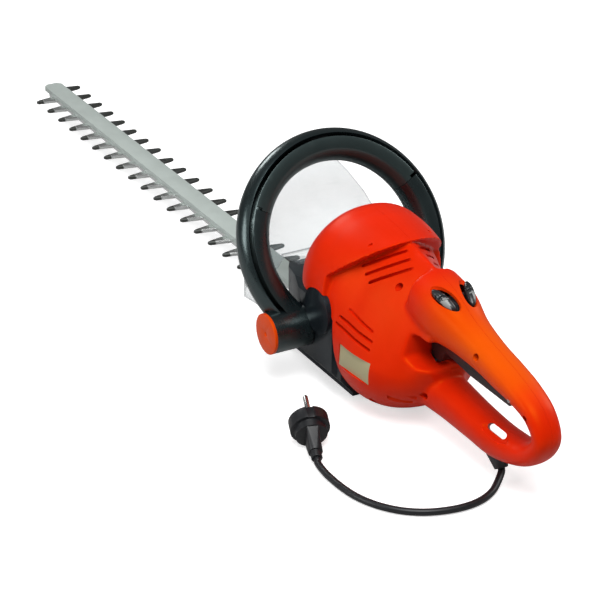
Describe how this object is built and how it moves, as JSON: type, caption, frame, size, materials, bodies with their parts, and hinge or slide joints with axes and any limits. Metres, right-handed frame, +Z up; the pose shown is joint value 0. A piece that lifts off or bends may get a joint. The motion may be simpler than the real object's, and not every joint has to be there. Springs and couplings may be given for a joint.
{
  "type": "hedge trimmer",
  "caption": "Corded electric hedge trimmer with a double-sided toothed blade, loop front handle with clear guard, D-shaped rear handle and a short cord with plug.",
  "frame": {"origin": "on the floor plane under the crank shaft, at the flat pad the tool rests on", "axes": "+X forward along the blade, +Y to the operator's left, +Z up"},
  "size_m": [1.0636, 0.2423, 0.2104],
  "materials": {
    "shell_orange": "moulded orange-red plastic, fine satin",
    "cap_orange": "moulded orange-red plastic, satin",
    "black_plastic": "black moulded plastic, fine texture",
    "black_gloss": "black moulded plastic, glossy",
    "grey_plastic": "dark grey moulded plastic",
    "label": "bare cream plate",
    "rubber": "black rubber",
    "clear": "clear polycarbonate",
    "steel": "ground steel",
    "bar": "drawn aluminium, dull",
    "casting": "die-cast aluminium",
    "copper": "enamelled copper",
    "brass": "turned brass",
    "carbon": "pressed carbon",
    "blue": "blue film capacitor case",
    "screw_steel": "blackened steel",
    "iron": "laminated iron"
  },
  "bodies": {
    "housing": {"housing_left": "shell_orange", "housing_right": "shell_orange", "housing_screws": "screw_steel", "label_plate": "label", "trigger_pin": "steel", "switch_cradle": "grey_plastic", "rear_switch": "grey_plastic", "capacitor": "blue", "cord_clamp": "grey_plastic", "strain_relief": "rubber", "cord": "rubber", "plug_body": "rubber", "plug_pins": "steel", "loop_handle_front": "black_gloss", "loop_handle_rear": "black_gloss", "front_switch": "grey_plastic", "end_cap_left": "cap_orange", "end_cap_right": "cap_orange", "handle_bolts": "steel", "guard": "clear", "guard_screws": "screw_steel", "gear_case": "black_plastic", "bearing_plate": "casting", "bottom_cover": "black_plastic", "case_screws": "screw_steel", "support_bar": "bar", "blade_bolts": "screw_steel", "blade_guides": "brass", "gear_bearings": "steel", "motor_bearings": "steel", "stator": "iron", "field_coils": "copper", "motor_bracket": "casting", "motor_screws": "screw_steel", "brush_holders": "brass", "brushes": "carbon", "brush_springs": "steel"},
    "drive_gear": {"drive_gear": "iron"},
    "armature": {"armature_shaft": "steel", "armature_core": "iron", "armature_windings": "copper", "commutator": "copper", "fan": "black_plastic"},
    "upper_blade": {"upper_blade": "steel"},
    "lower_blade": {"lower_blade": "steel"},
    "trigger": {"trigger": "black_plastic"},
    "lock_button_left": {"lock_button_left": "grey_plastic"},
    "lock_button_right": {"lock_button_right": "grey_plastic"},
    "front_switch_bar": {"front_switch_bar": "black_plastic"}
  },
  "joints": [
    {"name": "gear_spin", "type": "hinge", "parent": "housing", "child": "drive_gear", "pos_m": [0, 0, 0.04], "axis": [0, 0, 1], "continuous": true},
    {"name": "armature_spin", "type": "hinge", "parent": "housing", "child": "armature", "pos_m": [-0.045, 0, 0.06], "axis": [0, 0, 1], "continuous": true},
    {"name": "upper_blade_slide", "type": "slide", "parent": "housing", "child": "upper_blade", "axis": [1, 0, 0], "range_m": [-0.008, 0.008]},
    {"name": "lower_blade_slide", "type": "slide", "parent": "housing", "child": "lower_blade", "axis": [1, 0, 0], "range_m": [-0.008, 0.008]},
    {"name": "trigger_pull", "type": "hinge", "parent": "housing", "child": "trigger", "pos_m": [-0.287, 0, 0.0945], "axis": [0, -1, 0], "range_deg": [0, 3], "stiffness_Nm_per_rad": 3, "springref_deg": -2.86},
    {"name": "lock_left_press", "type": "slide", "parent": "housing", "child": "lock_button_left", "axis": [0, -1, 0], "range_m": [0, 0.0025], "stiffness_N_per_m": 400, "springref_m": -0.001},
    {"name": "lock_right_press", "type": "slide", "parent": "housing", "child": "lock_button_right", "axis": [0, 1, 0], "range_m": [0, 0.0025], "stiffness_N_per_m": 400, "springref_m": -0.001},
    {"name": "switch_bar_squeeze", "type": "slide", "parent": "housing", "child": "front_switch_bar", "axis": [0.5, 0, 0.866], "range_m": [0, 0.0015], "stiffness_N_per_m": 800, "springref_m": -0.001}
  ],
  "couplings": [
    {"joint": "armature_spin", "follows": "gear_spin", "ratio": -5},
    {"joint": "lower_blade_slide", "follows": "upper_blade_slide", "ratio": -1}
  ]
}
